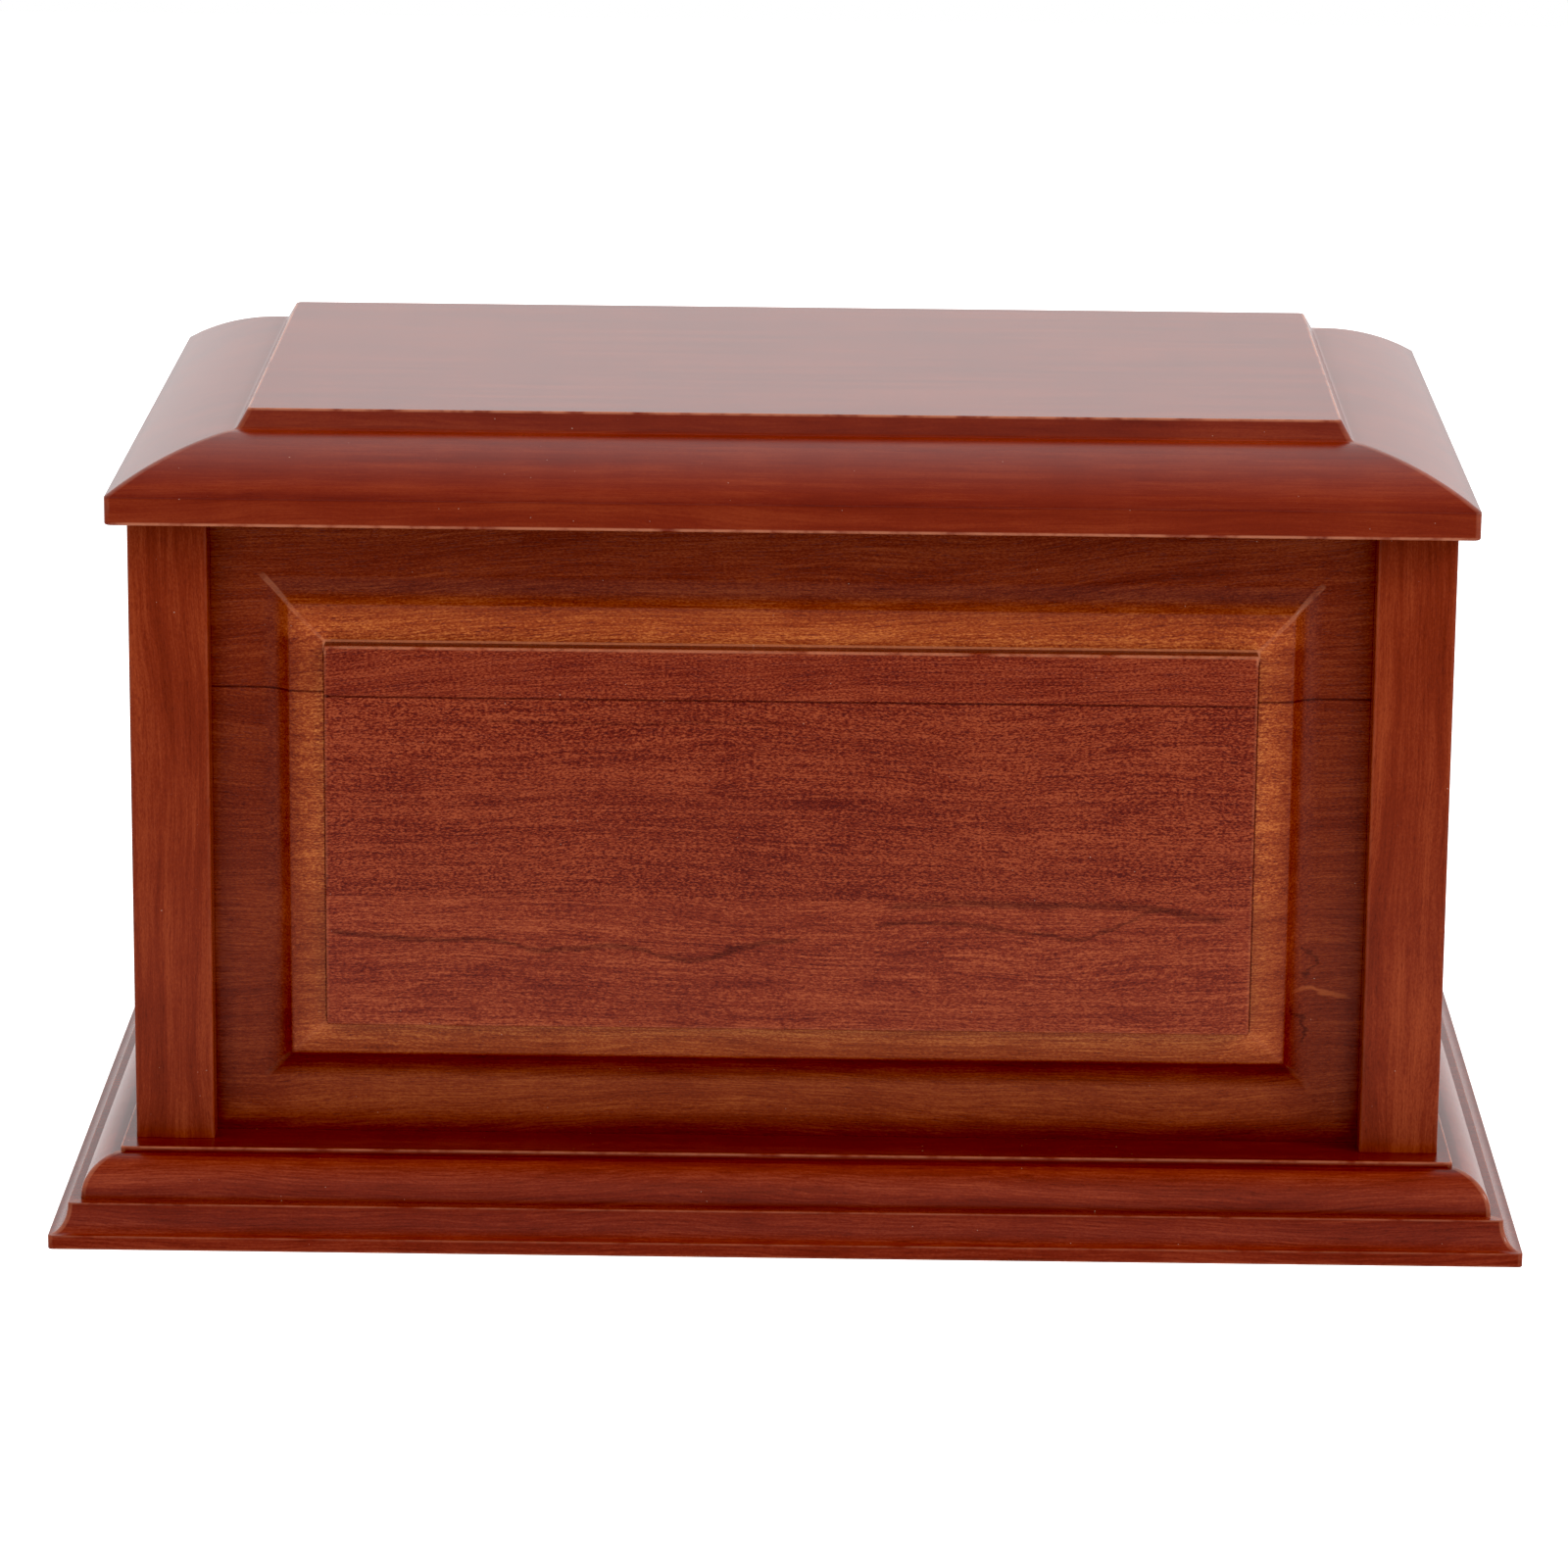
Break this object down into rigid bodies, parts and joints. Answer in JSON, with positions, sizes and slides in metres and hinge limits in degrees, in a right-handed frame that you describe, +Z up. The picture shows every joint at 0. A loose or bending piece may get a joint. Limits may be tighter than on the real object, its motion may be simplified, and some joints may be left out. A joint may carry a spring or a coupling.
{
  "type": "wooden cremation urn",
  "caption": "Rectangular wooden box urn with corner posts, raised panels, a moulded base and a lift-off hipped lid, for holding ashes.",
  "frame": {"origin": "middle of the base's underside, on the surface that the urn stands on", "axes": "+X to the right along the long front, +Y from the front to the back, +Z up"},
  "size_m": [0.28, 0.1846, 0.1559],
  "materials": {
    "base_wood": "red-brown stained cherry, satin to gloss lacquer",
    "post_wood": "red-brown stained cherry, satin to gloss lacquer",
    "panel_wood": "red-brown stained cherry, satin to gloss lacquer",
    "lid_wood": "red-brown stained cherry, satin to gloss lacquer"
  },
  "bodies": {
    "root": {"base": "base_wood", "post_front_left": "post_wood", "post_front_right": "post_wood", "post_back_left": "post_wood", "post_back_right": "post_wood", "panel_front": "panel_wood", "panel_right": "panel_wood", "panel_back": "panel_wood", "panel_left": "panel_wood", "lid": "lid_wood"}
  },
  "joints": []
}
